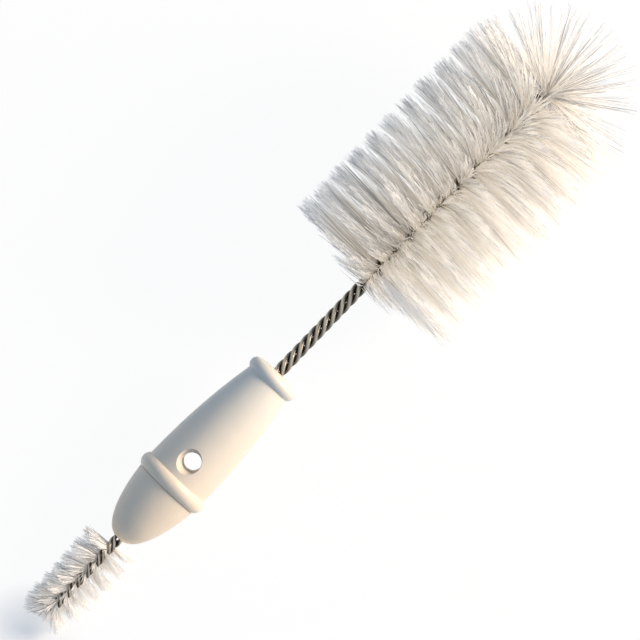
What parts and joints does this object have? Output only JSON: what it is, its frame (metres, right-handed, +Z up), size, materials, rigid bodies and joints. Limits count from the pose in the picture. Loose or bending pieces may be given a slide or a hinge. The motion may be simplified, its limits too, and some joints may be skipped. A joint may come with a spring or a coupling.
{
  "type": "bottle brush",
  "caption": "Bottle brush with a large spiral head on a twisted wire stem, a moulded handle with a hanging hole, and a small spiral brush that comes out of the handle's nose.",
  "frame": {"origin": "on the surface that the brush lies on, under the middle of its length and width", "axes": "+X along the brush towards the large head, +Z up from the surface"},
  "size_m": [0.2872, 0.0726, 0.0835],
  "materials": {
    "ivory_plastic": "satin",
    "steel_wire": "bright drawn wire",
    "nylon_bristle": "translucent satin nylon"
  },
  "bodies": {
    "root": {"handle": "ivory_plastic", "main_wire_a": "steel_wire", "main_wire_b": "steel_wire", "head_bristles": "nylon_bristle", "tip_bristles": "nylon_bristle", "small_wire_a": "steel_wire", "small_wire_b": "steel_wire", "small_bristles": "nylon_bristle"}
  },
  "joints": []
}
